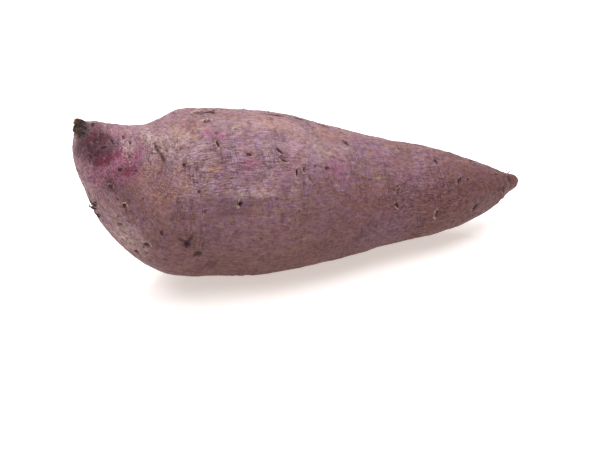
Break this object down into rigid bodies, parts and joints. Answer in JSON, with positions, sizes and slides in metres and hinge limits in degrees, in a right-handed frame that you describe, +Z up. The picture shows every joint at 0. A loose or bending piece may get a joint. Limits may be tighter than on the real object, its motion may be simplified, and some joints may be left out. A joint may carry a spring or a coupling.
{
  "type": "purple yam",
  "caption": "Whole purple yam root lying on its side, with a turned-up stem end, a broken vine stub, root scars and a tapering tail.",
  "frame": {"origin": "under the middle of the object's box, on the surface that the root rests on", "axes": "+X along the root from the stem end to the tail, +Z up, -Y is the side that the picture shows"},
  "size_m": [0.188, 0.0688, 0.0834],
  "materials": {
    "skin": "dry matt corky skin, mauve brown with lilac and tan patches",
    "stalk": "dry broken plant fibre, near black with ochre ends",
    "rootlets": "dry brown root fibre"
  },
  "bodies": {
    "root": {"tuber": "skin", "stem_stub": "stalk", "rootlet_1": "rootlets", "rootlet_2": "rootlets", "rootlet_3": "rootlets", "rootlet_4": "rootlets", "rootlet_5": "rootlets", "rootlet_6": "rootlets"}
  },
  "joints": []
}
